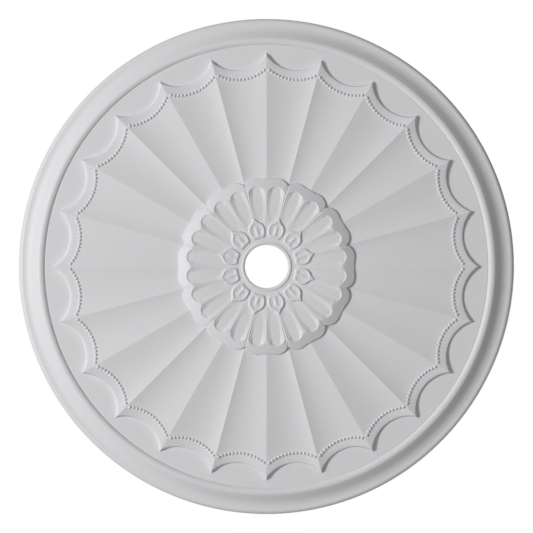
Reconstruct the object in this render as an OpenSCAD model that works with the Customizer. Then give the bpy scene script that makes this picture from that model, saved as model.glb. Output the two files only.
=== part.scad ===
// Round ceiling rose, cast in one piece, shown as it hangs: its flat back lies
// on the ceiling at z = 0, the relief faces down, and the origin is the middle of the back.
// Thicknesses are measured down from the ceiling.

/* [Whole rose] */
// Outside diameter
rose_d = 1020; // [900:10:1300]
// Diameter of the lighting hole
hole_d = 89; // [60:1:95]
// Overall projection below the ceiling, at the crest of the petals
rose_t = 57; // [52:1:70]

/* [Rim] */
// Width of the outer lip, from the edge to the foot of the cove
lip_w = 9; // [8:0.5:16]
// Radius of the rounded outer edge
edge_r = 7; // [2:0.5:8]
// Width of the cove
cove_w = 24; // [18:1:32]
// Height of the cove
cove_h = 9.5; // [5:0.5:12.5]
// Height of the steep step above the cove
step_h = 3.5; // [2:0.5:8]
// Width of the steep step above the cove
step_w = 4; // [2:0.5:6]
// Width of the round bead inside the step
bead_w = 18; // [12:1:24]
// How far the bead stands proud of the ground
bead_h = 3.5; // [2:0.5:6]
// How far the flat ground lies back from the crest of the petals
ground_drop = 26.5; // [24:0.5:30]

/* [Fan] */
// Gap between the bead and the points of the fan
ground_w = 15; // [8:1:30]
// How far each scallop bites in from the points
scallop_in = 32.5; // [24:0.5:34]
// Slope of the fan's edge wall from level, in degrees
edge_slope = 55; // [45:1:65]
// Height of the points of the fan above the ground
point_h = 9; // [8:0.5:12]
// Rise of the ridges from the points to the rosette
ridge_rise = 5.5; // [3:0.5:8]
// Depth of a flute at the points
flute_h = 5.5; // [3:0.5:6.5]
// Turn from the middle of a petal to the bottom of the flute beside it, in degrees
flute_low_turn = 8.3; // [6:0.1:9]

/* [Rosette] */
// Number of petals
petal_n = 12; // [11:1:13]
// Radius from the axis to the tip of a petal lobe
petal_r = 185.5; // [180:0.5:192]
// How far the dip between the two lobes of a petal bites in from the tips
dip_in = 2; // [1:0.5:5]
// How far the notch between two petals bites in from the tips
notch_in = 12.8; // [12:0.1:16]
// How far the crest of the petals lies inside the tips
crest_in = 28.5; // [27:0.5:33]
// Radius of the rounding over the crest
shoulder_r = 14; // [8:1:20]
// Slope of the shoulder outside the crest from level, in degrees
shoulder_slope = 24; // [18:1:27]
// How far the round end of the hollow in a lobe lies outside the crest
hollow_out = 9; // [5:1:11]
// Depth of the hollow near its round end
hollow_h = 3; // [1.5:0.5:4]
// Depth of the hollow where it runs in between the buds
hollow_in_h = 1; // [0.5:0.25:2]
// Half the width of the rib down the middle of a petal
rib_w = 4; // [2:0.5:6]
// Half the width of the border along the edge of a petal
border_w = 5; // [3:0.5:6]
// Half the width of the crease between petals
crease_w = 1.5; // [1:0.25:2.5]
// Depth of the crease between petals
crease_h = 1.5; // [0.5:0.25:2.5]

/* [Buds] */
// Gap between the bottom of the valley and the base of the buds
bud_gap = 2.5; // [0.5:0.5:6]
// Length of a bud from its base to its point
bud_len = 45; // [40:1:52]
// Distance from the base of a bud to its widest place
bud_wide = 18; // [14:1:22]
// How far the sharp point of a bud is cut back to a blunt nose
bud_blunt = 4.5; // [4:0.25:8]
// Half the greatest width of a bud
bud_w = 19.5; // [16:0.5:20]
// How far the rim of a bud lies back from the crest of the petals
bud_drop = 1.6; // [0:0.1:3]
// Run of the bevelled side of a bud
bud_bevel = 6; // [2:0.5:7]
// Width of the raised rim round a bud's panel
bud_rim_w = 4; // [2:0.5:6]
// Depth of the panel inside the rim of a bud
bud_panel_h = 1.4; // [0.5:0.1:2.5]

/* [Collar] */
// Width from the hole to the crest of the collar
collar_w = 5; // [4:0.5:7.5]
// Width from the crest of the collar to the bottom of the valley
valley_w = 8; // [6:0.5:10]
// How far the valley lies back from the crest of the petals
valley_drop = 5.3; // [4.5:0.1:9]
// How far the collar stands above the valley
collar_h = 2.5; // [1.5:0.5:4]
// Fall of the collar from its crest to the hole
collar_fall = 1; // [0.5:0.25:2]

/* [Hidden] */
$fn = 96;
// How far relief reaches down into the plate that carries it
root = 2;
// How far the top of the step runs in under the bead
tuck = 0.5;

rose_r = rose_d / 2;
hole_r = hole_d / 2;

// Thicknesses, worked back from the crest of the petals; the lip takes what the step and the cove leave
valley_t = rose_t - valley_drop;
bud_t = rose_t - bud_drop;
ground_t = rose_t - ground_drop;
lip_t = ground_t - step_h - cove_h;

// Rim radii, worked inward from the edge
cove_out_r = rose_r - lip_w;
cove_in_r = cove_out_r - cove_w;
bead_out_r = cove_in_r - step_w;
bead_in_r = bead_out_r - bead_w;
cove_round = arc_radius(cove_w, cove_h);
bead_round = arc_radius(bead_w / 2, bead_h);

// Fan: two flutes to a petal, each ending in a scallop whose circle passes
// through two neighbouring points and the bottom of the bite
half_petal = 180 / petal_n;
half_flute = half_petal / 2;
point_r = bead_in_r - ground_w;
bite_r = point_r - scallop_in;
scallop_c = (point_r * point_r - bite_r * bite_r) / (2 * (point_r * cos(half_flute) - bite_r));
scallop_r = scallop_c - bite_r;
ridge_in_t = ground_t + point_h + ridge_rise;
// How sharply a flute curves up to the ridge in the middle of a petal, and to the ridge between petals
soft_rise = 1.6;
sharp_rise = 2.1;

// Collar, valley and buds, worked outward from the hole
collar_r = hole_r + collar_w;
valley_r = collar_r + valley_w;
bud_foot_r = valley_r + bud_gap;
bud_wide_r = bud_foot_r + bud_wide;
bud_tip_r = bud_foot_r + bud_len;
bud_base_t = valley_t - root;

// Buds: two circles that cross in a point
bud_point = bud_len - bud_wide;
bud_shift = (bud_point * bud_point - bud_w * bud_w) / (2 * bud_w);
bud_round = bud_shift + bud_w;

// Rosette, worked inward from the tips: each lobe is a circle through its tip and the notches beside it
dip_r = petal_r - dip_in;
notch_r = petal_r - notch_in;
lobe_c = (petal_r * petal_r - notch_r * notch_r) / (2 * (petal_r - notch_r * cos(half_flute)));
lobe_r = petal_r - lobe_c;
crest_r = petal_r - crest_in;
hollow_end_r = crest_r + hollow_out;
// How far a hollow runs in from its round end to its full depth
hollow_run = 13;
hollow_full_r = hollow_end_r - hollow_run;
rosette_wall_w = 1;
petal_slope = atan((rose_t - valley_t) / (crest_r - valley_r));
line_in_r = crest_r - shoulder_r * sin(petal_slope);
line_out_r = crest_r + shoulder_r * sin(shoulder_slope);
// The petals end under the base of the buds, and their edge turns down inside the plate
petal_in_r = bud_foot_r + root;
sunk_r = petal_in_r - 1.5 * root;

// The relief is a net of columns round the rose and rows from the points inward
half_cols = 7;
low_col = 3;
cols = 2 * petal_n * half_cols;
rows = 17;
foot_t = ground_t - root;

// Radius of the circle that crosses a chord of half width w and rises h above it
function arc_radius(w, h) = (w * w + h * h) / (2 * h);

// Radius of a scallop at turn a from the middle of a petal, its circle grown by g
function scallop_edge(a, g) =
    scallop_c * cos(a - half_flute) - sqrt(pow(scallop_r + g, 2) - pow(scallop_c * sin(a - half_flute), 2));

// Thickness of the fan at radius r and turn a
function ridge_t(r) = ridge_in_t - ridge_rise * pow((r - petal_r) / (point_r - petal_r), 2);
function flute_share(a) = a < flute_low_turn
    ? 1 - pow(1 - a / flute_low_turn, soft_rise)
    : 1 - pow((a - flute_low_turn) / (half_petal - flute_low_turn), sharp_rise);
function fan_t(r, a) = ridge_t(r) - flute_h * r / point_r * flute_share(a);

// Outline of the rosette at turn a: round lobes with a shallow dip between the two of a petal
function lobe_edge(a) = lobe_c * cos(a - half_flute) + sqrt(lobe_r * lobe_r - pow(lobe_c * sin(a - half_flute), 2));
function rosette_edge(a) = a < half_flute ? max(lobe_edge(a), dip_r) : lobe_edge(a);

// Thickness of the petals at radius r before the hollows: a gentle rise, a rounded crest and a straight shoulder
function crest_t(r) = rose_t - shoulder_r + sqrt(shoulder_r * shoulder_r - pow(r - crest_r, 2));
function petal_t(r) =
    r < line_in_r ? crest_t(line_in_r) - (line_in_r - r) * tan(petal_slope)
    : r > line_out_r ? crest_t(line_out_r) - (r - line_out_r) * tan(shoulder_slope)
    : crest_t(r);
function hollow_deep(r) = r > hollow_end_r ? 0
    : r > hollow_full_r ? hollow_h * sin(90 * (hollow_end_r - r) / (hollow_end_r - hollow_full_r))
    : hollow_in_h + (hollow_h - hollow_in_h) * max(0, (r - bud_tip_r) / (hollow_full_r - bud_tip_r));
// Share of the hollow's depth and of the crease's depth in each column
function hollow_share(j) = [0, 0, 0.6, 1, 0.6, 0, 0, 0][j];
function crease_share(j, r) = j == half_cols && r > bud_tip_r ? 1 : 0;
function petal_net_t(r, j) = petal_t(r) - hollow_deep(r) * hollow_share(j) - crease_h * crease_share(j, r);

// Turn of column j from the middle of a petal, on the fan and on the petals
function fan_turn(j) = j <= low_col
    ? flute_low_turn * j / low_col
    : flute_low_turn + (half_petal - flute_low_turn) * (j - low_col) / (half_cols - low_col);
function petal_turn(j, r) =
    let (rib = asin(rib_w / r), border = half_petal - asin(border_w / r))
    j == 0 ? 0 : j == half_cols ? half_petal : j == half_cols - 1 ? half_petal - asin(crease_w / r)
    : rib + (border - rib) * (j - 1) / (half_cols - 3);

// Turn, radius and thickness of the net at row i and column j
function net(i, j) =
    let (a = fan_turn(j), edge_h = fan_t(scallop_edge(a, 0), a) - ground_t, slope = tan(edge_slope),
         edge = scallop_edge(a, edge_h / slope), foot = rosette_edge(a))
    i == 0 ? [a, scallop_edge(a, -root / slope), foot_t]
    : i <= 5 ? let (r = edge + (foot + rosette_wall_w - edge) * (i - 1) / 4) [a, r, fan_t(r, a)]
    : i == 6 ? [a, foot, petal_t(foot)]
    : let (r = net_radius(i, foot)) i == 7
        ? [(a + petal_turn(j, r)) / 2, r, petal_t(r) - crease_h * crease_share(j, r)]
    : i <= 14 ? [petal_turn(j, r), r, petal_net_t(r, j)]
    : [petal_turn(j, r), r, i == 15 ? bud_base_t + root / 2 : foot_t];
function net_radius(i, foot) =
    i == 7 ? (foot + hollow_end_r) / 2
    : i == 8 ? hollow_end_r
    : i == 9 ? (hollow_end_r + hollow_full_r) / 2
    : i == 10 ? hollow_full_r
    : i <= 14 ? hollow_full_r + (petal_in_r - hollow_full_r) * (i - 10) / 4
    : sunk_r;

// A point of the net, column c counted all the way round
function net_point(i, c) =
    let (petal = round(c / (2 * half_cols)), off = c - 2 * half_cols * petal, p = net(i, abs(off)),
         turn = petal * 2 * half_petal + sign(off) * p[0])
    [p[1] * cos(turn), p[1] * sin(turn), p[2]];
function net_index(i, c) = (i % rows) * cols + c % cols;
// The fold of each cell leans the same way on both sides of a petal
function leans(c) = c % (2 * half_cols) < half_cols;

// Everything is built face up, then turned over to hang
module turned_over() {
    mirror([0, 0, 1]) children();
}

module round_array(n, offset_turn = 0) {
    for (i = [0 : n - 1]) rotate(i * 360 / n + offset_turn) children();
}

// Section of the plate: rounded lip, cove, step and flat ground
module plate_section() {
    cove_top = lip_t + cove_h;
    difference() {
        union() {
            square([rose_r - edge_r, lip_t]);
            square([rose_r, lip_t - edge_r]);
            translate([rose_r - edge_r, lip_t - edge_r]) circle(r = edge_r);
            polygon([[0, 0], [0, ground_t], [bead_out_r - tuck, ground_t], [cove_in_r, cove_top],
                     [cove_out_r, cove_top], [cove_out_r, 0]]);
        }
        translate([cove_out_r, lip_t + cove_round]) circle(r = cove_round);
        translate([-rose_r, -2 * rose_r]) square([3 * rose_r, 2 * rose_r]);
    }
}

// Section of the round bead that borders the ground
module bead_section() {
    intersection() {
        translate([(bead_in_r + bead_out_r) / 2, ground_t + bead_h - bead_round]) circle(r = bead_round);
        translate([bead_in_r, ground_t - bead_h]) square([bead_w, 3 * bead_h]);
    }
}

// Section of the collar that borders the hole
module collar_section() {
    crest = valley_t + collar_h;
    inner = crest - collar_fall;
    polygon([[0, 0], [0, inner], [hole_r, inner], [collar_r, crest],
             [valley_r, valley_t], [petal_in_r, valley_t], [petal_in_r, 0]]);
}

// The plate and the collar, with the lighting hole through both
module plate() {
    difference() {
        union() {
            rotate_extrude() {
                plate_section();
                bead_section();
            }
            rotate_extrude() collar_section();
        }
        translate([0, 0, -1]) cylinder(h = rose_t + 2, r = hole_r);
    }
}

// The fluted fan and the hollowed petals
module relief() {
    polyhedron(
        points = [for (i = [0 : rows - 1]) for (c = [0 : cols - 1]) net_point(i, c)],
        faces = [for (i = [0 : rows - 1]) for (c = [0 : cols - 1])
            let (a = net_index(i, c), b = net_index(i, c + 1), d = net_index(i + 1, c), e = net_index(i + 1, c + 1))
            each leans(c) ? [[a, d, e], [a, e, b]] : [[a, d, b], [b, d, e]]],
        convexity = 6);
}

// A pointed bud shape, drawn in by inset at its foot and by top_inset at its top
module bud_shape(inset, top_inset, low_t, high_t) {
    intersection_for (side = [-1, 1]) {
        translate([bud_wide_r, side * bud_shift, low_t])
            cylinder(h = high_t - low_t, r1 = bud_round - inset, r2 = bud_round - top_inset);
    }
}

module bud() {
    panel_in = bud_bevel + bud_rim_w;
    difference() {
        bud_shape(0, bud_bevel, bud_base_t, bud_t);
        bud_shape(panel_in, panel_in - 1, bud_t - bud_panel_h, bud_t + 1);
        translate([0, 0, bud_base_t - 1]) cylinder(h = bud_t, r = bud_foot_r);
        translate([bud_tip_r - bud_blunt, -bud_w, bud_base_t - 1]) cube([2 * bud_blunt, 2 * bud_w, bud_t]);
    }
}

// The whole casting
module ceiling_rose() {
    color("#e9e9e8") turned_over() {
        plate();
        relief();
        round_array(petal_n, half_petal) bud();
    }
}

ceiling_rose();
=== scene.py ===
"""Moulded ceiling rose: one casting of primed foam, hung face down under a ceiling.

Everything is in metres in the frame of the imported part. The flat back lies at z = 0
and the relief hangs towards -Z, so the helpers below speak of thickness: how far a
surface stands below the ceiling. Turns are angles about the axis of the rose.
"""
import math

import bpy
import numpy as np
from bpy.props import FloatProperty, FloatVectorProperty, IntProperty, PointerProperty
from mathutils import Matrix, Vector


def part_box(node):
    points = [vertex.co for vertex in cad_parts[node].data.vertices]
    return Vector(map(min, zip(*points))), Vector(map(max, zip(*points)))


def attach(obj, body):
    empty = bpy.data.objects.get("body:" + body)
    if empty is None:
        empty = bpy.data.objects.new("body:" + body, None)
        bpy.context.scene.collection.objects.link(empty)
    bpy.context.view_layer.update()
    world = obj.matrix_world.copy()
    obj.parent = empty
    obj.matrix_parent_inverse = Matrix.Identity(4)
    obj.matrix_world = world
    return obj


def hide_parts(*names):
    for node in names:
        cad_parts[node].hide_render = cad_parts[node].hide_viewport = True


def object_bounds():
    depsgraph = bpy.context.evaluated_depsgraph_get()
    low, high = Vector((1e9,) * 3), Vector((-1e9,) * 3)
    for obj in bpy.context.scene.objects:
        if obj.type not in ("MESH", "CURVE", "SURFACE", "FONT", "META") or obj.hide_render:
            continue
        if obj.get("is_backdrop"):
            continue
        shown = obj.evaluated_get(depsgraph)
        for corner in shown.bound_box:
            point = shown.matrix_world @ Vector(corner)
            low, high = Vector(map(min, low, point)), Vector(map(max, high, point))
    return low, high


bl_info = {
    "name": "Ceiling Rose",
    "version": (1, 0, 0),
    "blender": (4, 5, 0),
    "location": "View3D > Sidebar > Ceiling Rose",
    "description": "Builds a moulded ceiling rose, its primed finish and a plain studio round it",
    "category": "Add Mesh",
}

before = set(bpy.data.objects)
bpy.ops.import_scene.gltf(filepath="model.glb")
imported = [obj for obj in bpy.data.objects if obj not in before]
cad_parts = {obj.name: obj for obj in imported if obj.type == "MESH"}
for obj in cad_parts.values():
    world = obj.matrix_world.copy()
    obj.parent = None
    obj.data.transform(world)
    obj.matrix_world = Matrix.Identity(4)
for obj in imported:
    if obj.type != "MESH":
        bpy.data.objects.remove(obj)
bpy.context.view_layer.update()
NODE = "ceiling_rose"
FINISH = "matt_primer"
TAU = 2.0 * math.pi


# ---------------- fine sizes
#
# Distances are in metres. These round an edge, carry one piece in under the next, or set
# how a net is spaced. A pair is a start and an end, or a step out and a fall.

# Turn in degrees above which an edge of a piece stays crisp.
CRISP_ANGLE = {
    "rose_plate": 28.0,
    "rose_fan": 13.0,
    "rose_rosette": 24.0,
    "rose_buds": 32.0,
    "rose_beads": 40.0,
}

# The plate: the collar's section is given as steps out and falls below its crest.
HOLE_EDGE = ((0.0, 0.0018), (0.0008, 0.0010))  # from the wall of the hole
COLLAR_ROUND = ((-0.0016, 0.0001), (0.0, 0.0), (0.0012, 0.0005))  # from the crest
COLLAR_FOOT = 0.0022  # from the crest out to the foot
VALLEY_START = (0.0030, 0.0002)  # inward from the valley, and the rise there
VALLEY_TUCK = 0.008  # how far the valley runs on under the petals
GROUND_RING = 0.06  # from the fan's points in to a hidden ring
QUIRK_BOTTOM = 0.25  # place of its deepest line, as a share of its width
STEP_TOP = (0.0008, 0.0003)  # rounds the top of the step
STEP_FOOT = 0.0006  # rounds the foot of the step
BEAD_STEPS = 13
COVE_STEPS = 15
EDGE_STEPS = 9

# The fan.
SOFT_BEND = 1.1  # how the slope eases from a soft ridge to the bottom of a flute
SHARP_BEND = 1.2  # how the slope gathers from there to a sharp ridge
FLUTE_SAMPLES = 1201
FAN_ROOT = 0.002  # how far the foot is sunk in the ground
FAN_TUCK = 0.010  # how far the flutes run in under the petals
WALL_PLACE = 0.004  # inside the scallop, where the wall's height is taken
WALL_SHARES = (0.0, 0.5, 0.88)  # rows up the edge wall
FAN_LIP = (0.0004, 0.0002)  # rounds the top of the edge wall
FAN_ROUND = 0.0016  # from the wall's top back to the first row of the flutes
FAN_ROWS = 22
FAN_SPACING = 1.15  # above 1 crowds the rows towards the edge

# The petals.
RISE_BEND = 1.55  # how late a ridge rises to its crest
HOLLOW_START = (0.062, 0.095)  # radii over which the hollows deepen
RIM_START = (0.100, 0.120)  # radii over which their rims sharpen
RIM_SHARE = 0.5  # most of a wall that the sharp rim takes
END_START = 0.35  # how far round a hollow's end its own wall begins
CREASE_START = (0.113, 0.150)  # radii over which the crease deepens
LENS_START = 0.157  # radius where the crease opens into a lens
LENS_LENGTH = 0.012
LENS_WIDTH = 0.0021  # half the width of the lens
PETAL_ROOT = 0.004  # from the ground up to the underside
PETAL_INNER = 0.0005  # from the valley in to the inner wall
PETAL_SUNK = 0.0006  # how far the inner edge lies below the valley
PETAL_FIRST = 0.002  # from the inner wall to the first row
PETAL_EDGE = (0.0006, 0.0007)  # rounds the outer edge
PETAL_SKIRT = 0.0010  # how far the foot spreads and sinks into the flutes
PETAL_SPACING = 0.85  # below 1 crowds the rows towards the outer edge
NEARLY_ZERO = 1e-6  # keeps a division from failing

# The buds.
POINT_BEND = 1.2  # how hollow the sides of a point are
PAST_TIP = 0.6  # how fast the width runs negative past the tip
LEAN_STEP = 0.0002  # step over which the lean of a side is measured
BUD_SUNK = 0.0006  # how far the foot is sunk in the petals
BUD_CROWN = 0.092  # radius where the top stands highest
BUD_SWELL = 0.85  # below 1 makes the rounded side fuller
PANEL_START = (0.0008, 0.0050)  # run inside the side over which the panel sinks
VEIN_START = (0.063, 0.068)  # radii over which the vein rises
VEIN_END = (0.077, 0.086)  # radii over which it dies away
RAY_SPACING = 0.55  # crowds the rays towards the point
RAY_REACH = 0.05  # longer than any ray from the widest place
RAY_HALVINGS = 40  # halvings that find where a ray meets the foot
FIRST_RING = 0.02  # share of the rays at the innermost ring
RING_SPACING = 0.9  # below 1 crowds the rings towards the foot
BUD_ROOT = 0.004  # depth of the hidden root below the foot

# The beads.
BEAD_ROOT = 0.0015  # depth of the hidden root in the flutes

# The finish. A noise is given by its features to a metre, its detail and its roughness.
CLOUD_NOISE = (9.0, 3.0, 0.5)
STREAK_NOISE = (60.0, 4.0, 0.6)
CUT_NOISE = (140.0, 5.0, 0.65)
PEEL_NOISE = (260.0, 2.0, 0.5)
GRAIN_NOISE = (900.0, 3.0, 0.6)
PORE_SCALE = 520.0
CLOUD_WEIGHT = 0.65
GRAIN_WEIGHT = 0.45
PEEL_WEIGHT = 0.55
PORE_WEIGHT = 1.6
CUT_WEIGHT = 1.2
FOAM_DARK = 0.90
FOAM_LIGHT = 1.05
BACK_FACING = 0.9
BACK_DEPTH = -0.0005
STREAK_ROUGHNESS = 0.16
BACK_ROUGHNESS = 0.25
PRIMER_SPECULAR = 0.4

# Sockets of a Mix node that mixes colours.
MIX_FACTOR = 0
MIX_FIRST = 6
MIX_SECOND = 7
MIX_RESULT = 2

# The stage.
FLOOR_NOISE = (1.5, 2.0, 0.5)
FLOOR_DARK = (0.79, 0.79, 0.79, 1.0)
FLOOR_LIGHT = (0.81, 0.81, 0.81, 1.0)
FLOOR_ROUGHNESS = 0.9
WHITE = (1.0, 1.0, 1.0, 1.0)
SENSOR_WIDTH = 36.0


# ---------------- settings

def length(name, default, description):
    """A length in metres."""
    return FloatProperty(
        name=name, default=default, description=description, unit="LENGTH", subtype="DISTANCE", precision=5
    )


def turn(name, degrees, description):
    """An angle, kept in radians."""
    return FloatProperty(
        name=name, default=math.radians(degrees), description=description, unit="ROTATION", subtype="ANGLE"
    )


def number(name, default, description):
    """A plain number."""
    return FloatProperty(name=name, default=default, description=description, precision=4)


def count(name, default, description):
    """A whole number of at least three."""
    return IntProperty(name=name, default=default, description=description, min=3)


class RosePlateSettings(bpy.types.PropertyGroup):
    """The turned plate: rim, ground, collar and lighting hole."""
    segments: count("Segments", 480, "Steps round the turned plate")
    lip_thickness: length("Lip thickness", 0.0175, "Thickness of the outer lip")
    lip_width: length("Lip width", 0.0095, "From the edge to the foot of the cove")
    edge_radius: length("Edge radius", 0.0085, "Radius of the rounded outer edge")
    cove_width: length("Cove width", 0.0235, "Width of the cove")
    cove_height: length("Cove height", 0.0095, "Height of the cove")
    cove_slope: turn("Cove slope", 34.0, "Slope of the straight upper part of the cove")
    step_width: length("Step width", 0.004, "Width of the steep step above the cove")
    bead_width: length("Bead width", 0.017, "Width of the round bead inside the step")
    bead_height: length("Bead height", 0.0040, "How far the bead stands proud of the ground")
    quirk_depth: length("Quirk depth", 0.0008, "Depth of the fine groove inside the bead")
    quirk_width: length("Quirk width", 0.0016, "Width of the fine groove inside the bead")
    ground_thickness: length("Ground", 0.0305, "Thickness of the flat ground")
    hole_radius: length("Hole radius", 0.0445, "Radius of the lighting hole")
    collar_radius: length("Collar radius", 0.0495, "Radius of the crest of the collar")
    collar_height: length("Collar height", 0.0025, "How far the collar stands above the valley")
    ring_height: length("Ring height", 0.0004, "Height of the foot of the collar above the valley")
    valley_radius: length("Valley radius", 0.0575, "Radius of the valley outside the collar")
    valley_thickness: length("Valley", 0.0517, "Thickness in the valley")


class RoseFanSettings(bpy.types.PropertyGroup):
    """The fluted fan with its scalloped edge."""
    columns: count("Columns", 28, "Columns of the net in half a petal's turn")
    ground_width: length("Ground width", 0.016, "From the bead to the points of the fan")
    scallop_depth: length("Scallop depth", 0.0325, "How far a scallop bites in from the points")
    edge_slope: turn("Edge slope", 70.0, "Slope of the edge wall from level")
    point_height: length("Point height", 0.009, "Height of the points above the ground")
    ridge_rise: length("Ridge rise", 0.0055, "Rise of the ridges from the points to the rosette")
    flute_low: turn("Flute bottom", 8.3, "Turn from a petal's middle to the bottom of the flute")
    soft_slope: number("Soft ridge", 0.148, "Cross slope of a flute at a ridge in the middle of a petal")
    sharp_slope: number("Sharp ridge", 0.262, "Cross slope of a flute at a ridge between petals")


class RoseRosetteSettings(bpy.types.PropertyGroup):
    """The ring of hollowed petals."""
    petals: count("Petals", 12, "Number of petals")
    columns: count("Columns", 34, "Columns of the net in half a petal's turn")
    rows: count("Rows", 92, "Rows of the net from the valley to the foot")
    petal_radius: length("Petal radius", 0.1820, "Radius to the tip of a lobe")
    dip_radius: length("Dip radius", 0.1800, "Radius to the dip between the lobes of a petal")
    notch_radius: length("Notch radius", 0.1695, "Radius to the notch between two petals")
    crest_radius: length("Crest radius", 0.1550, "Radius of the crest of the ridges")
    crest_thickness: length("Crest", 0.0570, "Thickness at the crest")
    shoulder_slope: number("Shoulder slope", 0.437, "Fall of the shoulder for each metre outward")
    shoulder_round: length("Shoulder rounding", 0.0035, "How soon the crest turns into the shoulder")
    floor_thickness: length("Hollow floor", 0.0532, "Thickness of the hollow's floor where it is highest")
    floor_radius: length("Floor radius", 0.138, "Radius where the hollow's floor is highest")
    floor_bend: number("Floor bend", 0.7, "Fall of the floor for each square metre away from there")
    end_radius: length("Hollow end", 0.1668, "Radius to the round end of a hollow, half a rib included")
    wall_share: number("Wall share", 0.036, "Softness of the hollow's walls, as a share of the radius")
    rim_depth: length("Rim depth", 0.0011, "Depth of the sharp upper part of a hollow's wall")
    rim_width: length("Rim width", 0.0009, "Run of the sharp upper part of a hollow's wall")
    rib_half: length("Rib half width", 0.0022, "Half the width of the flat on a rib between hollows")
    end_wall: length("End wall", 0.0022, "Softness of the wall at the hollow's round end")
    crease_depth: length("Crease depth", 0.0012, "Depth of the crease between petals")
    crease_width: length("Crease width", 0.0009, "Softness of the crease")


class RoseBudSettings(bpy.types.PropertyGroup):
    """The pointed buds between the petals."""
    rings: count("Rings", 30, "Rings of the net of a bud")
    rays: count("Rays", 120, "Rays of the net of a bud")
    tip_radius: length("Tip", 0.1032, "Radius to the point of a bud")
    foot_radius: length("Foot", 0.0570, "Radius to the foot of a bud")
    foot_run: length("Foot run", 0.0050, "Run of the slope at the base of a bud")
    wide_radius: length("Widest", 0.0773, "Radius to the widest place of a bud")
    half_width: length("Half width", 0.0166, "Half width of a bud halfway up its side")
    inner_length: length("Inner length", 0.023, "Length of the round of a bud towards the hole")
    outer_length: length("Outer length", 0.016, "Length of the round of a bud towards its point")
    join_radius: length("Join", 0.0872, "Radius where the point of a bud begins")
    point_length: length("Point length", 0.0120, "Length over which the point widens")
    point_width: length("Point width", 0.0078, "Half width of the point over that length")
    rim_thickness: length("Rim", 0.0563, "Thickness at the outer rim of a bud")
    tilt: number("Tilt", 0.045, "Fall of a bud's top towards the hole")
    point_fall: number("Point fall", 0.06, "Fall of a bud's top along its point")
    side_run: length("Side run", 0.0018, "Half the run of the rounded side of a bud")
    point_run: length("Point run", 0.0015, "Half the run of the side at the point")
    panel_depth: length("Panel depth", 0.0013, "Depth of the panel inside the rim")
    vein_height: length("Vein height", 0.0013, "Height of the vein in the panel")
    vein_width: length("Vein width", 0.0024, "Softness of the vein")
    groove_depth: length("Groove depth", 0.0007, "Depth of the grooves beside the vein")
    groove_place: length("Groove place", 0.0060, "Distance of a groove from the middle of a bud")
    groove_width: length("Groove width", 0.0010, "Softness of a groove")


class RoseBeadSettings(bpy.types.PropertyGroup):
    """The string of small beads inside each scallop."""
    beads: count("Beads", 14, "Beads in one scallop")
    radius: length("Bead radius", 0.0033, "Radius of a bead")
    pitch: length("Pitch", 0.0076, "Distance from bead to bead")
    inset: length("Inset", 0.0205, "Distance of the string inside the scallop's edge")
    rings: count("Rings", 6, "Rings of a bead")
    sides: count("Sides", 16, "Sides of a bead")


class RoseFinishSettings(bpy.types.PropertyGroup):
    """The primed finish of the front and the bare back."""
    primer: FloatVectorProperty(
        name="Primer", default=(0.790, 0.790, 0.806), subtype="COLOR", min=0.0, max=1.0,
        description="Primer colour",
    )
    foam: FloatVectorProperty(
        name="Foam", default=(0.74, 0.71, 0.63), subtype="COLOR", min=0.0, max=1.0,
        description="Colour of the bare back",
    )
    roughness: number("Roughness", 0.52, "Roughness of the primer")
    mottle: number("Mottle", 0.012, "How much the primer's tone wanders")
    grain: length("Grain", 0.00004, "Depth of the primer's fine grain")


class RoseStageSettings(bpy.types.PropertyGroup):
    """Floor, light and camera."""
    floor_drop: length("Floor", 8.6, "How far the floor lies below the ceiling")
    floor_size: length("Floor size", 30.0, "Side of the floor")
    key_distance: length("Key distance", 10.5, "Distance of the key light from the rose")
    key_size: length("Key size", 2.2, "Side of the key light")
    key_height: turn("Key height", 42.0, "Height of the key light below the face of the rose")
    key_turn: turn("Key turn", 5.0, "Turn of the key light from the -X side towards -Y")
    key_power: number("Key power", 735.0, "Power of the key light in watts")
    fill_place: FloatVectorProperty(
        name="Fill place", default=(3.0, 2.0, 3.5), subtype="XYZ",
        description="Place of the light on the back",
    )
    fill_power: number("Fill power", 150.0, "Power of the light on the back in watts")
    sky: number("Sky", 0.205, "Brightness of the soft light all round")
    backdrop: number("Backdrop", 1.0, "Brightness of the plain backdrop")
    lens: number("Lens", 250.0, "Focal length of the camera in millimetres")
    view_width: length("View width", 1.0995, "Width that the camera takes in at the rose")


# ---------------- shapes

def smooth(low, high, x):
    """A soft step from 0 at low to 1 at high."""
    s = np.clip((x - low) / (high - low), 0.0, 1.0)
    return s * s * (3.0 - 2.0 * s)


def arc_radius(half_width, rise):
    """Radius of the circle over a chord of that half width and rise."""
    return (half_width ** 2 + rise ** 2) / (2.0 * rise)


def arc(centre, radius, start, end, steps):
    """Points on an arc, angles in degrees."""
    a = np.radians(np.linspace(start, end, steps))
    return [(centre[0] + radius * math.cos(x), centre[1] + radius * math.sin(x)) for x in a]


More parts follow.
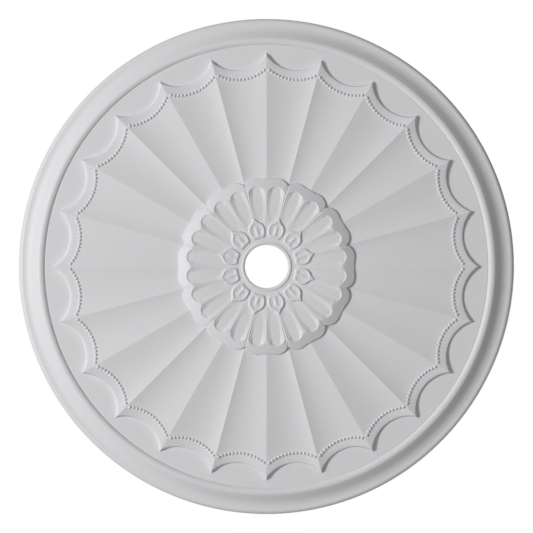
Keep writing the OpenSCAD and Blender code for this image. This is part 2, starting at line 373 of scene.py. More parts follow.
class Rose:
    """Sizes worked out from the settings, and the thickness of each part of the relief."""

    def __init__(self, scene):
        self.plate = scene.rose_plate
        self.fan = scene.rose_fan
        self.rosette = scene.rose_rosette
        self.buds = scene.rose_buds
        low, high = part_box(NODE)
        self.radius = (high[0] - low[0] + high[1] - low[1]) / 4.0
        p = self.plate
        self.cove_out = self.radius - p.lip_width
        self.cove_in = self.cove_out - p.cove_width
        self.bead_out = self.cove_in - p.step_width
        self.bead_in = self.bead_out - p.bead_width
        self.half_petal = math.pi / self.rosette.petals
        self.half_flute = self.half_petal / 2.0
        self.point_radius = self.bead_in - self.fan.ground_width
        bite = self.point_radius - self.fan.scallop_depth
        spread = self.point_radius * math.cos(self.half_flute) - bite
        self.scallop_centre = (self.point_radius ** 2 - bite ** 2) / (2.0 * spread)
        self.scallop_radius = self.scallop_centre - bite
        self.ridge_inner = p.ground_thickness + self.fan.point_height + self.fan.ridge_rise
        tip = self.rosette.petal_radius
        notch = self.rosette.notch_radius
        self.lobe_centre = (tip ** 2 - notch ** 2) / (2.0 * (tip - notch * math.cos(self.half_flute)))
        self.lobe_radius = tip - self.lobe_centre

    def scallop_edge(self, a, growth):
        """Radius of the scallop's edge at turn a, with its circle made larger by the growth."""
        side = self.scallop_centre * np.sin(a - self.half_flute)
        reach = np.sqrt((self.scallop_radius + growth) ** 2 - side ** 2)
        return self.scallop_centre * np.cos(a - self.half_flute) - reach

    def ridge(self, r):
        """Thickness along the ridges of the fan."""
        run = self.point_radius - self.rosette.petal_radius
        return self.ridge_inner - self.fan.ridge_rise * ((r - self.rosette.petal_radius) / run) ** 2

    def flute_drop(self, a):
        """Drop of a flute below its ridges at turn a, for each metre of radius."""
        low = self.fan.flute_low
        fine = np.linspace(0.0, self.half_petal, FLUTE_SAMPLES)
        down = np.clip(fine / low, 0.0, 1.0)
        up = np.clip((fine - low) / (self.half_petal - low), 0.0, 1.0)
        near = -self.fan.soft_slope * np.cos(math.pi / 2.0 * down ** SOFT_BEND)
        far = self.fan.sharp_slope * up ** SHARP_BEND
        slope = np.where(fine < low, near, far)
        height = np.concatenate([[0.0], np.cumsum((slope[1:] + slope[:-1]) / 2.0 * np.diff(fine))])
        height = height - height[-1] * fine / self.half_petal
        return -np.interp(a, fine, height)

    def fan_thickness(self, r, a):
        """Thickness of the fan at radius r and turn a from the middle of a petal."""
        return self.ridge(r) - self.flute_drop(a) * r

    def rosette_edge(self, a):
        """Outline of the rosette at turn a: round lobes with a shallow dip between them."""
        s = self.rosette
        side = self.lobe_centre * np.sin(a - self.half_flute)
        reach = np.sqrt(np.maximum(self.lobe_radius ** 2 - side ** 2, 0.0))
        lobe = self.lobe_centre * np.cos(a - self.half_flute) + reach
        return np.where(a < self.half_flute, np.maximum(lobe, s.dip_radius), lobe)

    def petal_ridge(self, r):
        """Thickness of a petal's ridges at radius r: a rise to the crest, then a shoulder."""
        s = self.rosette
        run = s.crest_radius - self.plate.valley_radius
        rise = s.crest_thickness - self.plate.valley_thickness
        share = np.clip((r - self.plate.valley_radius) / run, 0.0, None)
        inner = self.plate.valley_thickness + rise * np.minimum(share, 1.0) ** RISE_BEND
        past = r - s.crest_radius
        fall = np.where(past > 0.0, np.sqrt(past ** 2 + s.shoulder_round ** 2) - s.shoulder_round, 0.0)
        return inner - s.shoulder_slope * fall

    def hollow_floor(self, r):
        """Thickness of the floor along the middle of a hollow."""
        s = self.rosette
        floor = s.floor_thickness - s.floor_bend * (r - s.floor_radius) ** 2
        kept = smooth(*HOLLOW_START, r)
        ridge = self.petal_ridge(r)
        return ridge - np.maximum(ridge - floor, 0.0) * kept

    def petal_thickness(self, r, a):
        """Thickness of the petals at radius r and turn a from the middle of a petal."""
        s = self.rosette
        share = math.sin(self.half_flute)
        centre = s.end_radius / (1.0 + share)
        round_end = s.end_radius - centre
        u = r * np.cos(a - self.half_flute)
        w = np.abs(r * np.sin(a - self.half_flute))
        side_gap = u * share - w * math.cos(self.half_flute)
        at_end = u * math.cos(self.half_flute) + w * share > centre * math.cos(self.half_flute)
        reach = np.hypot(u - centre, w)
        end_gap = round_end - reach
        inside = np.where(at_end, end_gap, side_gap) - s.rib_half
        ahead = np.where(at_end, (u - centre) / np.maximum(reach, NEARLY_ZERO), 0.0)
        ahead = np.clip(ahead, 0.0, 1.0)
        out_u = centre + (round_end - s.rib_half) * ahead
        out_w = (round_end - s.rib_half) * np.sqrt(1.0 - ahead ** 2)
        rim_radius = np.where(at_end, np.hypot(out_u, out_w), r)
        rim = self.petal_ridge(rim_radius)
        wall = s.wall_share * r
        wall = wall + (s.end_wall - wall) * smooth(END_START, 1.0, ahead)
        floor = self.hollow_floor(r)
        hollow = floor + (rim - floor) * np.exp(-np.maximum(inside, 0.0) ** 2 / (2.0 * wall ** 2))
        sharp = s.rim_depth * smooth(0.0, s.rim_width, inside) * smooth(*RIM_START, r)
        sharp = np.minimum(sharp, np.maximum(rim - floor, 0.0) * RIM_SHARE)
        hollow = np.maximum(hollow - sharp, np.minimum(floor, hollow))
        surface = np.where(inside > 0.0, hollow, self.petal_ridge(r))
        return surface - self.crease(r, a)

    def crease(self, r, a):
        """Depth of the crease between petals, which opens round a small lens near the notch."""
        s = self.rosette
        beside = r * np.sin(self.half_petal - a)
        lens = np.clip((r - LENS_START) / LENS_LENGTH, 0.0, 1.0)
        off = LENS_WIDTH * np.sin(math.pi * lens)
        depth = s.crease_depth * smooth(*CREASE_START, r)
        return depth * np.exp(-((beside - off) / s.crease_width) ** 2)


def relief_point(r, a, t):
    """A point at radius r, turn a and thickness t."""
    return np.stack([r * np.cos(a), r * np.sin(a), -t], axis=-1)


def all_round(rose, half_turn, half_r, half_t):
    """Repeats a net over half a petal, with its mirror image, all the way round."""
    last = half_turn.shape[1] - 1
    steps = 2 * last * rose.rosette.petals
    index = np.arange(steps)
    petal = np.rint(index / (2 * last)).astype(int)
    off = index - 2 * last * petal
    column = np.abs(off)
    a = petal * 2.0 * rose.half_petal + np.sign(off) * half_turn[:, column]
    return relief_point(half_r[:, column], a, half_t[:, column])


def grid_faces(rows, columns, close_rows=False, offset=0):
    """Quads of a net whose columns run all the way round."""
    i = np.arange(rows if close_rows else rows - 1)[:, None]
    j = np.arange(columns)[None, :]
    below = (i + 1) % rows
    beside = (j + 1) % columns
    quads = np.stack(
        [i * columns + j, i * columns + beside, below * columns + beside, below * columns + j], axis=-1
    )
    return quads.reshape(-1, 4) + offset


def signed_volume(points, faces):
    """Six times the volume that the faces enclose, negative where they look inward."""
    total = 0.0
    for k in range(1, faces.shape[1] - 1):
        a = points[faces[:, 0]]
        b = points[faces[:, k]]
        c = points[faces[:, k + 1]]
        total += float(np.einsum("ij,ij->i", a, np.cross(b, c)).sum())
    return total


def new_piece(name, points, faces, material):
    """Makes a closed piece, faces outward, that rides on the part and stands for its solid."""
    if signed_volume(points, faces) < 0.0:
        faces = faces[:, ::-1]
    mesh = bpy.data.meshes.new(name)
    mesh.vertices.add(len(points))
    mesh.vertices.foreach_set("co", points.astype(np.float32).ravel())
    sides = faces.shape[1]
    mesh.loops.add(faces.size)
    mesh.loops.foreach_set("vertex_index", faces.astype(np.int32).ravel())
    mesh.polygons.add(len(faces))
    mesh.polygons.foreach_set("loop_start", np.arange(0, faces.size, sides, dtype=np.int32))
    mesh.update(calc_edges=True)
    mesh.polygons.foreach_set("use_smooth", np.ones(len(faces), dtype=bool))
    mesh.set_sharp_from_angle(angle=math.radians(CRISP_ANGLE[name]))
    mesh.validate()
    mesh.materials.append(material)
    piece = bpy.data.objects.new(name, mesh)
    bpy.context.scene.collection.objects.link(piece)
    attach(piece, "root")
    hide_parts(NODE)


def new_net(name, points, material):
    """Makes a piece of one net of quads that closes round the rose and round its own section."""
    faces = grid_faces(points.shape[0], points.shape[1], close_rows=True)
    new_piece(name, points.reshape(-1, 3), faces, material)


def new_rows(rose, name, rows, material):
    """Makes a piece of rows over half a petal, each a radius, a turn and a thickness."""
    r, turns, t = (np.array([row[k] for row in rows]) for k in range(3))
    new_net(name, all_round(rose, turns, r, t), material)


def cap_faces(rings, sides, start):
    """Triangles that close the first and last rings of a net onto the two points that follow it."""
    j = np.arange(sides)
    beside = (j + 1) % sides
    top = start + rings * sides
    last = start + (rings - 1) * sides
    upper = np.stack([np.full(sides, top), start + beside, start + j], axis=-1)
    lower = np.stack([np.full(sides, top + 1), last + j, last + beside], axis=-1)
    return np.vstack([upper, lower])


def new_shells(name, blocks, rings, sides, material):
    """Makes a piece of like shells of triangles, each a block of rings and its two closing points."""
    starts = [k * (rings * sides + 2) for k in range(len(blocks))]
    quads = np.vstack([grid_faces(rings, sides, offset=start) for start in starts])
    caps = np.vstack([cap_faces(rings, sides, start) for start in starts])
    triangles = np.vstack([quads[:, [0, 1, 2]], quads[:, [0, 2, 3]], caps])
    new_piece(name, np.vstack(blocks), triangles, material)


# ---------------- finish

class Wire:
    """One socket of a node tree, with arithmetic that adds Math nodes."""

    def __init__(self, tree, socket):
        self.tree = tree
        self.socket = socket

    def math(self, operation, *values):
        """Adds one Math node fed by this socket and the values."""
        node = self.tree.nodes.new("ShaderNodeMath")
        node.operation = operation
        for place, value in enumerate(values):
            plug(self.tree, node.inputs[place], value)
        return Wire(self.tree, node.outputs[0])

    def __add__(self, other):
        return self.math("ADD", self, other)

    def __radd__(self, other):
        return self.math("ADD", other, self)

    def __sub__(self, other):
        return self.math("SUBTRACT", self, other)

    def __rsub__(self, other):
        return self.math("SUBTRACT", other, self)

    def __mul__(self, other):
        return self.math("MULTIPLY", self, other)

    def __rmul__(self, other):
        return self.math("MULTIPLY", other, self)

    def above(self, limit):
        """1 where this is above the limit."""
        return self.math("GREATER_THAN", self, limit)

    def clamped(self):
        """This kept between 0 and 1."""
        result = self.math("ADD", self, 0.0)
        result.socket.node.use_clamp = True
        return result


def plug(tree, socket, value):
    """Links a wire into a socket, or sets the socket's own value."""
    if isinstance(value, Wire):
        tree.links.new(value.socket, socket)
    else:
        socket.default_value = value


class Shader:
    """A material's node tree with one method that adds any node."""

    def __init__(self, name):
        self.material = bpy.data.materials.new(name)
        self.material.use_nodes = True
        self.tree = self.material.node_tree
        self.tree.nodes.clear()

    def add(self, kind, settings=None, **values):
        """Adds a node of that kind, sets its settings, and fills its sockets by name."""
        node = self.tree.nodes.new(kind)
        for key, setting in (settings or {}).items():
            setattr(node, key, setting)
        for key, value in values.items():
            plug(self.tree, node.inputs[key.replace("_", " ")], value)
        return node

    def wire(self, node, output=0):
        """One output of a node as a wire."""
        return Wire(self.tree, node.outputs[output])

    def mix_colour(self, factor, first, second):
        """Mixes two colours."""
        node = self.tree.nodes.new("ShaderNodeMix")
        node.data_type = "RGBA"
        plug(self.tree, node.inputs[MIX_FACTOR], factor)
        plug(self.tree, node.inputs[MIX_FIRST], first)
        plug(self.tree, node.inputs[MIX_SECOND], second)
        return Wire(self.tree, node.outputs[MIX_RESULT])

    def noise(self, place, scale, detail, roughness):
        """Soft cloudy noise from 0 to 1 over the place."""
        node = self.add(
            "ShaderNodeTexNoise", {"noise_dimensions": "3D"},
            Vector=place, Scale=scale, Detail=detail, Roughness=roughness,
        )
        return self.wire(node)

    def cells(self, place, scale):
        """Distance to the nearest of scattered points."""
        node = self.add("ShaderNodeTexVoronoi", {"feature": "F1"}, Vector=place, Scale=scale)
        return self.wire(node)


def tone(colour, share):
    """A colour scaled by a share, with full alpha."""
    return (colour[0] * share, colour[1] * share, colour[2] * share, 1.0)


def primed_finish(settings):
    """Matt primer with a cloudy tone and fine grain on the front; bare foam with pores on the back."""
    shader = Shader(FINISH)
    place = shader.wire(shader.add("ShaderNodeTexCoord"), "Object")
    shape = shader.add("ShaderNodeNewGeometry")
    split = shader.add("ShaderNodeSeparateXYZ", Vector=shader.wire(shape, "True Normal"))
    height = shader.add("ShaderNodeSeparateXYZ", Vector=place)
    cloud = shader.noise(place, *CLOUD_NOISE)
    streak = shader.noise(place, *STREAK_NOISE)
    drift = (cloud * CLOUD_WEIGHT + streak * (1.0 - CLOUD_WEIGHT)).clamped()
    low = tone(settings.primer, 1.0 - settings.mottle)
    high = tone(settings.primer, 1.0 + settings.mottle)
    primer = shader.mix_colour(drift, low, high)
    pores = shader.cells(place, PORE_SCALE)
    cut = shader.noise(place, *CUT_NOISE)
    foam = shader.mix_colour(cut, tone(settings.foam, FOAM_DARK), tone(settings.foam, FOAM_LIGHT))
    faces_up = shader.wire(split, "Z").above(BACK_FACING)
    at_back = shader.wire(height, "Z").above(BACK_DEPTH)
    back = faces_up * at_back
    colour = shader.mix_colour(back, primer, foam)
    grain = shader.noise(place, *GRAIN_NOISE)
    peel = shader.noise(place, *PEEL_NOISE)
    primer_relief = grain * GRAIN_WEIGHT + peel * PEEL_WEIGHT
    foam_relief = pores * PORE_WEIGHT + cut * CUT_WEIGHT
    relief = primer_relief * (1.0 - back) + foam_relief * back
    bump = shader.add("ShaderNodeBump", None, Strength=1.0, Distance=settings.grain, Height=relief)
    base = settings.roughness - STREAK_ROUGHNESS / 2.0
    rough = (streak * STREAK_ROUGHNESS + base + back * BACK_ROUGHNESS).clamped()
    surface = shader.add("ShaderNodeBsdfPrincipled")
    plug(shader.tree, surface.inputs["Base Color"], colour)
    plug(shader.tree, surface.inputs["Roughness"], rough)
    plug(shader.tree, surface.inputs["Normal"], shader.wire(bump))
    surface.inputs["Specular IOR Level"].default_value = PRIMER_SPECULAR
    out = shader.add("ShaderNodeOutputMaterial")
    shader.tree.links.new(surface.outputs[0], out.inputs["Surface"])
    return shader.material


def floor_finish():
    """A plain pale floor with a trace of cloudiness."""
    shader = Shader("pale_floor")
    place = shader.wire(shader.add("ShaderNodeTexCoord"), "Object")
    cloud = shader.noise(place, *FLOOR_NOISE)
    colour = shader.mix_colour(cloud, FLOOR_DARK, FLOOR_LIGHT)
    surface = shader.add("ShaderNodeBsdfPrincipled")
    plug(shader.tree, surface.inputs["Base Color"], colour)
    surface.inputs["Roughness"].default_value = FLOOR_ROUGHNESS
    out = shader.add("ShaderNodeOutputMaterial")
    shader.tree.links.new(surface.outputs[0], out.inputs["Surface"])
    return shader.material


def finish_for(scene):
    """The shared finish, made once. Its name differs from the slot's, which the frame's own material has."""
    return bpy.data.materials.get(FINISH) or primed_finish(scene.rose_finish)


# ---------------- pieces

def plate_profile(rose):
    """Radius and thickness round the plate's section, from the back of the hole outward."""
    p = rose.plate
    ground = p.ground_thickness
    slope = math.tan(p.cove_slope)
    bend = math.sin(p.cove_slope) * slope - (1.0 - math.cos(p.cove_slope))
    cove = (p.cove_width * slope - p.cove_height) / bend
    cove_end = math.degrees(p.cove_slope)
    bead = arc_radius(p.bead_width / 2.0, p.bead_height)
    bead_end = math.degrees(math.asin(p.bead_width / 2.0 / bead))
    bead_middle = (rose.bead_in + rose.bead_out) / 2.0
    collar = p.valley_thickness + p.collar_height
    foot = p.valley_thickness + p.ring_height
    tuck = p.valley_radius + VALLEY_TUCK
    points = [(p.hole_radius, 0.0)]
    points += [(p.hole_radius + out, collar - fall) for out, fall in HOLE_EDGE]
    points += [(p.collar_radius + out, collar - fall) for out, fall in COLLAR_ROUND]
    points += [(p.collar_radius + COLLAR_FOOT, foot)]
    points += [(p.valley_radius - VALLEY_START[0], p.valley_thickness + VALLEY_START[1])]
    points += [(p.valley_radius, p.valley_thickness), (tuck, p.valley_thickness), (tuck, ground)]
    points += [(rose.point_radius - GROUND_RING, ground), (rose.bead_in - p.quirk_width, ground)]
    points += [(rose.bead_in - p.quirk_width * QUIRK_BOTTOM, ground - p.quirk_depth)]
    bead_centre = (bead_middle, ground + p.bead_height - bead)
    points += arc(bead_centre, bead, 90.0 + bead_end, 90.0 - bead_end, BEAD_STEPS)
    step_foot = p.lip_thickness + p.cove_height
    points += [(rose.bead_out + STEP_TOP[0], ground - STEP_TOP[1])]
    points += [(rose.cove_in - STEP_FOOT, step_foot + STEP_FOOT)]
    points += arc((rose.cove_out, p.lip_thickness + cove), cove, 270.0 - cove_end, 270.0, COVE_STEPS)
    edge = (rose.radius - p.edge_radius, p.lip_thickness - p.edge_radius)
    points += arc(edge, p.edge_radius, 90.0, 0.0, EDGE_STEPS)
    points += [(rose.radius, 0.0)]
    return np.array(points)


def build_plate(rose, material):
    """The turned plate with its rim, ground, collar and lighting hole."""
    profile = plate_profile(rose)
    steps = rose.plate.segments
    a = np.linspace(0.0, TAU, steps, endpoint=False)[None, :]
    r = np.repeat(profile[:, :1], steps, axis=1)
    t = np.repeat(profile[:, 1:], steps, axis=1)
    new_net("rose_plate", relief_point(r, a + 0.0 * r, t), material)


def build_fan(rose, material):
    """The fluted fan: foot, edge wall, flutes, and an inner end under the petals."""
    f = rose.fan
    a = np.linspace(0.0, rose.half_petal, f.columns + 1)
    ground = rose.plate.ground_thickness
    root = ground - FAN_ROOT
    slope = math.tan(f.edge_slope)
    wall = rose.fan_thickness(rose.scallop_edge(a, WALL_PLACE), a) - ground
    edge = rose.scallop_edge(a, wall / slope)
    inner = rose.rosette_edge(a) - FAN_TUCK
    rows = [(rose.scallop_edge(a, -FAN_ROOT / slope), a, np.full_like(a, root))]
    for share in WALL_SHARES:
        rows.append((rose.scallop_edge(a, share * wall / slope), a, ground + share * wall))
    lip = rose.scallop_edge(a, wall / slope + FAN_LIP[0])
    rows.append((lip, a, rose.fan_thickness(lip, a) - FAN_LIP[1]))
    for share in np.linspace(0.0, 1.0, FAN_ROWS) ** FAN_SPACING:
        r = (edge - FAN_ROUND) + (inner - edge + FAN_ROUND) * share
        rows.append((r, a, rose.fan_thickness(r, a)))
    rows.append((inner, a, np.full_like(a, root)))
    new_rows(rose, "rose_fan", rows, material)


def build_rosette(rose, material):
    """The ring of petals: valley, hollows, ridges, creases, shoulder and foot."""
    s = rose.rosette
    a = np.linspace(0.0, rose.half_petal, s.columns + 1)
    foot = rose.rosette_edge(a)
    ground = rose.plate.ground_thickness
    inner = rose.plate.valley_radius - PETAL_INNER
    deep = ground + PETAL_ROOT
    rows = [(np.full_like(a, inner), a, np.full_like(a, deep))]
    rows.append((np.full_like(a, inner), a, np.full_like(a, rose.plate.valley_thickness - PETAL_SUNK)))
    for share in np.linspace(0.0, 1.0, s.rows) ** PETAL_SPACING:
        r = (inner + PETAL_FIRST) + (foot - PETAL_EDGE[0] - inner - PETAL_FIRST) * share
        rows.append((r, a, rose.petal_thickness(r, a)))
    rows.append((foot, a, rose.petal_thickness(foot - PETAL_EDGE[0], a) - PETAL_EDGE[1]))
    rows.append((foot + PETAL_SKIRT, a, rose.fan_thickness(foot, a) - PETAL_SKIRT))
    rows.append((foot + PETAL_SKIRT, a, np.full_like(a, deep)))
    new_rows(rose, "rose_rosette", rows, material)


def bud_half_width(rose, r):
    """Half width of a bud halfway up its side: a round body drawn out to a hollow-sided point."""
    b = rose.buds
    away = r - b.wide_radius
    run = np.where(away > 0.0, b.outer_length, b.inner_length)
    body = b.half_width * np.sqrt(np.maximum(1.0 - (away / run) ** 2, 0.0))
    left = b.tip_radius - r
    point = b.point_width * (np.maximum(left, 0.0) / b.point_length) ** POINT_BEND
    drawn = np.where(r > b.join_radius, np.maximum(body, point), body)
    return np.where(left > 0.0, drawn, PAST_TIP * left)


def bud_side_run(rose, r):
    """Half the run of a bud's rounded side, which tightens along the point."""
    b = rose.buds
    return b.side_run + (b.point_run - b.side_run) * smooth(b.join_radius, b.tip_radius, r)


def bud_inset(rose, x, r):
    """Distance inside the foot of a bud at side x and distance r along its axis."""
    b = rose.buds
    width = bud_half_width(rose, r)
    change = bud_half_width(rose, r + LEAN_STEP) - bud_half_width(rose, r - LEAN_STEP)
    lean = change / (2.0 * LEAN_STEP)
    side = (width - np.abs(x)) / np.sqrt(1.0 + lean ** 2) + bud_side_run(rose, r)
    base = (np.hypot(x, r) - b.foot_radius) * 2.0 * b.side_run / b.foot_run
    return np.minimum(side, base)


def bud_thickness(rose, x, r):
    """Thickness of a bud at side x and distance r along its axis."""
    b = rose.buds
    from_axis = np.hypot(x, r)
    inset = np.maximum(bud_inset(rose, x, r), 0.0)
    run = 2.0 * bud_side_run(rose, r)
    under = rose.petal_ridge(from_axis) - BUD_SUNK
    inward = np.maximum(BUD_CROWN - r, 0.0)
    outward = np.maximum(r - BUD_CROWN, 0.0)
    top = b.rim_thickness - b.tilt * inward - b.point_fall * outward
    rise = smooth(0.0, 1.0, inset / run) ** BUD_SWELL
    panel = b.panel_depth * smooth(run + PANEL_START[0], run + PANEL_START[1], inset)
    along = smooth(*VEIN_START, r) * (1.0 - smooth(*VEIN_END, r))
    vein = b.vein_height * np.exp(-(x / b.vein_width) ** 2)
    groove = b.groove_depth * np.exp(-((np.abs(x) - b.groove_place) / b.groove_width) ** 2)
    return under + (top - under) * rise - panel + (vein - groove) * along


def bud_net(rose):
    """Points of one bud about its own axis, ring by ring, with a foot below."""
    b = rose.buds
    even = np.linspace(0.0, TAU, b.rays, endpoint=False)
    ray = math.pi / 2.0 + even - RAY_SPACING * np.sin(even)
    across = np.cos(ray)
    along = np.sin(ray)
    low = np.zeros_like(ray)
    high = np.full_like(ray, RAY_REACH)
    for _ in range(RAY_HALVINGS):
        middle = (low + high) / 2.0
        inside = bud_inset(rose, across * middle, b.wide_radius + along * middle) > 0.0
        low = np.where(inside, middle, low)
        high = np.where(inside, high, middle)
    rings = []
    for share in np.linspace(FIRST_RING, 1.0, b.rings) ** RING_SPACING:
        x = across * low * share
        r = b.wide_radius + along * low * share
        rings.append(np.stack([x, r, bud_thickness(rose, x, r)], axis=-1))
    foot = rings[-1].copy()
    foot[:, 2] -= BUD_ROOT
    rings.append(foot)
    return np.array(rings)


def build_buds(rose, material):
    """Twelve pointed buds, one on each line between two petals."""
    net = bud_net(rose)
    rings, rays, _ = net.shape
    blocks = []
    for k in range(rose.rosette.petals):
        a = (2 * k + 1) * rose.half_petal
        out = np.array([math.cos(a), math.sin(a)])
        side = np.array([-math.sin(a), math.cos(a)])
        plan = net[..., 1:2] * out + net[..., 0:1] * side
        block = np.concatenate([plan, -net[..., 2:3]], axis=-1).reshape(-1, 3)
        crown = block[:rays].mean(axis=0)
        below = block[-rays:].mean(axis=0)
        blocks.append(np.vstack([block, crown, below]))
    new_shells("rose_buds", blocks, rings, rays, material)


def build_beads(rose, beads, material):
    """A string of small round beads in each scallop."""
    track = rose.scallop_radius + beads.inset
    polar = np.linspace(0.0, math.pi / 2.0, beads.rings + 1)
    ray = np.linspace(0.0, TAU, beads.sides, endpoint=False)
    ring = np.array([
        np.stack([
            beads.radius * math.sin(p) * np.cos(ray),
            beads.radius * math.sin(p) * np.sin(ray),
            np.full_like(ray, beads.radius * math.cos(p)),
        ], axis=-1)
        for p in polar[1:]
    ])
    skirt = ring[-1].copy()
    skirt[:, 2] = -BEAD_ROOT
    shell = np.vstack([ring, skirt[None]])
    rings, sides, _ = shell.shape
    blocks = []
    for flute in range(2 * rose.rosette.petals):
        axis = (flute + 0.5) * 2.0 * rose.half_flute
        for k in range(beads.beads):
            b = (k - (beads.beads - 1) / 2.0) * beads.pitch / track
            x = rose.scallop_centre - track * math.cos(b)
            y = track * math.sin(b)
            r = math.hypot(x, y)
            a = math.atan2(y, x) + axis
            inside = abs((a + rose.half_petal) % (2.0 * rose.half_petal) - rose.half_petal)
            t = float(rose.fan_thickness(r, inside))
            centre = np.array([r * math.cos(a), r * math.sin(a), -t])
            block = centre + shell.reshape(-1, 3) * np.array([1.0, 1.0, -1.0])
            crown = centre + np.array([0.0, 0.0, -beads.radius])
            below = centre + np.array([0.0, 0.0, BEAD_ROOT])
            blocks.append(np.vstack([block, crown, below]))
    new_shells("rose_beads", blocks, rings, sides, material)


# ---------------- stage

def build_floor(settings):
    """A plain pale floor far below the ceiling."""
    half = settings.floor_size / 2.0
    z = -settings.floor_drop
    mesh = bpy.data.meshes.new("floor")
    corners = [(-half, -half, z), (half, -half, z), (half, half, z), (-half, half, z)]
    mesh.from_pydata(corners, [], [(0, 1, 2, 3)])
    mesh.materials.append(floor_finish())
    floor = bpy.data.objects.new("floor", mesh)
    bpy.context.scene.collection.objects.link(floor)
    floor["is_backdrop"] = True


def add_light(name, place, away, size, power):
    """A soft square light at the place that shines back along the line away from the rose."""
    data = bpy.data.lights.new(name, "AREA")
    data.shape = "SQUARE"
    data.size = size
    data.energy = power
    light = bpy.data.objects.new(name, data)
    light.location = place
    light.rotation_euler = away.to_track_quat("Z", "Y").to_euler()
    bpy.context.scene.collection.objects.link(light)


def add_background(tree, strength):
    """A white background of that strength."""
    node = tree.nodes.new("ShaderNodeBackground")
    node.inputs["Color"].default_value = WHITE
    node.inputs["Strength"].default_value = strength
    return node


def build_lights(settings):
    """A large soft key light that grazes the face, and one on the back."""
    level = math.cos(settings.key_height)
    away = Vector((
        -level * math.cos(settings.key_turn),
        -level * math.sin(settings.key_turn),
        -math.sin(settings.key_height),
    ))
    add_light("key", away * settings.key_distance, away, settings.key_size, settings.key_power)
    fill = Vector(settings.fill_place)
    add_light("fill", fill, fill, settings.key_size, settings.fill_power)


def build_room(settings):
    """Even light all round, with a plain backdrop where the camera looks past the rose."""
    world = bpy.data.worlds.new("soft_room")
    world.use_nodes = True
    tree = world.node_tree
    tree.nodes.clear()
    seen = tree.nodes.new("ShaderNodeLightPath")
    soft = add_background(tree, settings.sky)
    plain = add_background(tree, settings.backdrop)
    mix = tree.nodes.new("ShaderNodeMixShader")
    out = tree.nodes.new("ShaderNodeOutputWorld")
    tree.links.new(seen.outputs["Is Camera Ray"], mix.inputs[0])
    tree.links.new(soft.outputs[0], mix.inputs[1])
    tree.links.new(plain.outputs[0], mix.inputs[2])
    tree.links.new(mix.outputs[0], out.inputs["Surface"])
    bpy.context.scene.world = world


def build_camera(settings):
    """A camera below the rose that looks straight up, -Y at the top of the picture."""
    low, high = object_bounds()
    data = bpy.data.cameras.new("camera")
    data.lens = settings.lens
    data.sensor_width = SENSOR_WIDTH
    camera = bpy.data.objects.new("camera", data)
    distance = settings.view_width * settings.lens / data.sensor_width
    camera.location = ((low[0] + high[0]) / 2.0, (low[1] + high[1]) / 2.0, -distance)
    camera.rotation_euler = (math.pi, 0.0, 0.0)
    bpy.context.scene.collection.objects.link(camera)
    bpy.context.scene.camera = camera


# ---------------- add-on

class MESH_OT_rose_plate(bpy.types.Operator):
    """Add the turned plate of the rose"""
    bl_idname = "mesh.rose_plate"
    bl_label = "Rose Plate"

    def execute(self, context):
        build_plate(Rose(context.scene), finish_for(context.scene))
        return {"FINISHED"}


class MESH_OT_rose_fan(bpy.types.Operator):
    """Add the fluted fan of the rose"""
    bl_idname = "mesh.rose_fan"
    bl_label = "Rose Fan"

    def execute(self, context):
        build_fan(Rose(context.scene), finish_for(context.scene))
        return {"FINISHED"}


class MESH_OT_rose_rosette(bpy.types.Operator):
    """Add the ring of hollowed petals"""
    bl_idname = "mesh.rose_rosette"
    bl_label = "Rose Petals"

    def execute(self, context):
        build_rosette(Rose(context.scene), finish_for(context.scene))
        return {"FINISHED"}


class MESH_OT_rose_buds(bpy.types.Operator):
    """Add the pointed buds between the petals"""
    bl_idname = "mesh.rose_buds"
    bl_label = "Rose Buds"

    def execute(self, context):
        build_buds(Rose(context.scene), finish_for(context.scene))
        return {"FINISHED"}


class MESH_OT_rose_beads(bpy.types.Operator):
    """Add the strings of small beads in the scallops"""
    bl_idname = "mesh.rose_beads"
    bl_label = "Rose Beads"

    def execute(self, context):
        build_beads(Rose(context.scene), context.scene.rose_beads, finish_for(context.scene))
        return {"FINISHED"}


class SCENE_OT_rose_stage(bpy.types.Operator):
    """Add the floor, the lights and the camera"""
    bl_idname = "scene.rose_stage"
    bl_label = "Rose Stage"

    def execute(self, context):
        settings = context.scene.rose_stage
        build_floor(settings)
        build_lights(settings)
        build_room(settings)
        build_camera(settings)
        context.scene.view_settings.view_transform = "Standard"
        return {"FINISHED"}


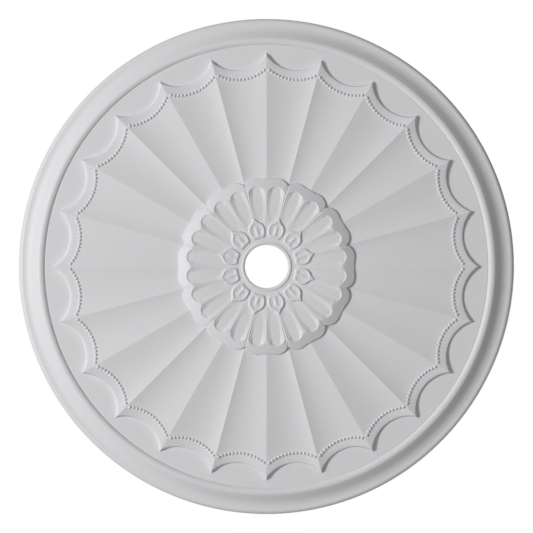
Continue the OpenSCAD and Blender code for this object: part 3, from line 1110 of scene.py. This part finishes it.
class VIEW3D_PT_rose(bpy.types.Panel):
    """Sizes and buttons of the ceiling rose"""
    bl_label = "Ceiling Rose"
    bl_idname = "VIEW3D_PT_rose"
    bl_space_type = "VIEW_3D"
    bl_region_type = "UI"
    bl_category = "Ceiling Rose"

    def draw(self, context):
        layout = self.layout
        for group, operator in PARTS:
            box = layout.box()
            settings = getattr(context.scene, group)
            for key in settings.__annotations__:
                box.prop(settings, key)
            if operator:
                box.operator(operator)


PARTS = (
    ("rose_plate", "mesh.rose_plate"),
    ("rose_fan", "mesh.rose_fan"),
    ("rose_rosette", "mesh.rose_rosette"),
    ("rose_buds", "mesh.rose_buds"),
    ("rose_beads", "mesh.rose_beads"),
    ("rose_finish", ""),
    ("rose_stage", "scene.rose_stage"),
)
GROUPS = {
    "rose_plate": RosePlateSettings,
    "rose_fan": RoseFanSettings,
    "rose_rosette": RoseRosetteSettings,
    "rose_buds": RoseBudSettings,
    "rose_beads": RoseBeadSettings,
    "rose_finish": RoseFinishSettings,
    "rose_stage": RoseStageSettings,
}
OPERATORS = (
    MESH_OT_rose_plate,
    MESH_OT_rose_fan,
    MESH_OT_rose_rosette,
    MESH_OT_rose_buds,
    MESH_OT_rose_beads,
    SCENE_OT_rose_stage,
    VIEW3D_PT_rose,
)


def register():
    """Registers the settings, the operators and the panel."""
    for name, group in GROUPS.items():
        bpy.utils.register_class(group)
        setattr(bpy.types.Scene, name, PointerProperty(type=group))
    for kind in OPERATORS:
        bpy.utils.register_class(kind)


def unregister():
    """Removes everything that register added."""
    for kind in reversed(OPERATORS):
        bpy.utils.unregister_class(kind)
    for name, group in GROUPS.items():
        delattr(bpy.types.Scene, name)
        bpy.utils.unregister_class(group)


def main():
    """Builds the rose and its stage."""
    register()
    bpy.ops.mesh.rose_plate()
    bpy.ops.mesh.rose_fan()
    bpy.ops.mesh.rose_rosette()
    bpy.ops.mesh.rose_buds()
    bpy.ops.mesh.rose_beads()
    bpy.ops.scene.rose_stage()


if __name__ == "__main__":
    main()
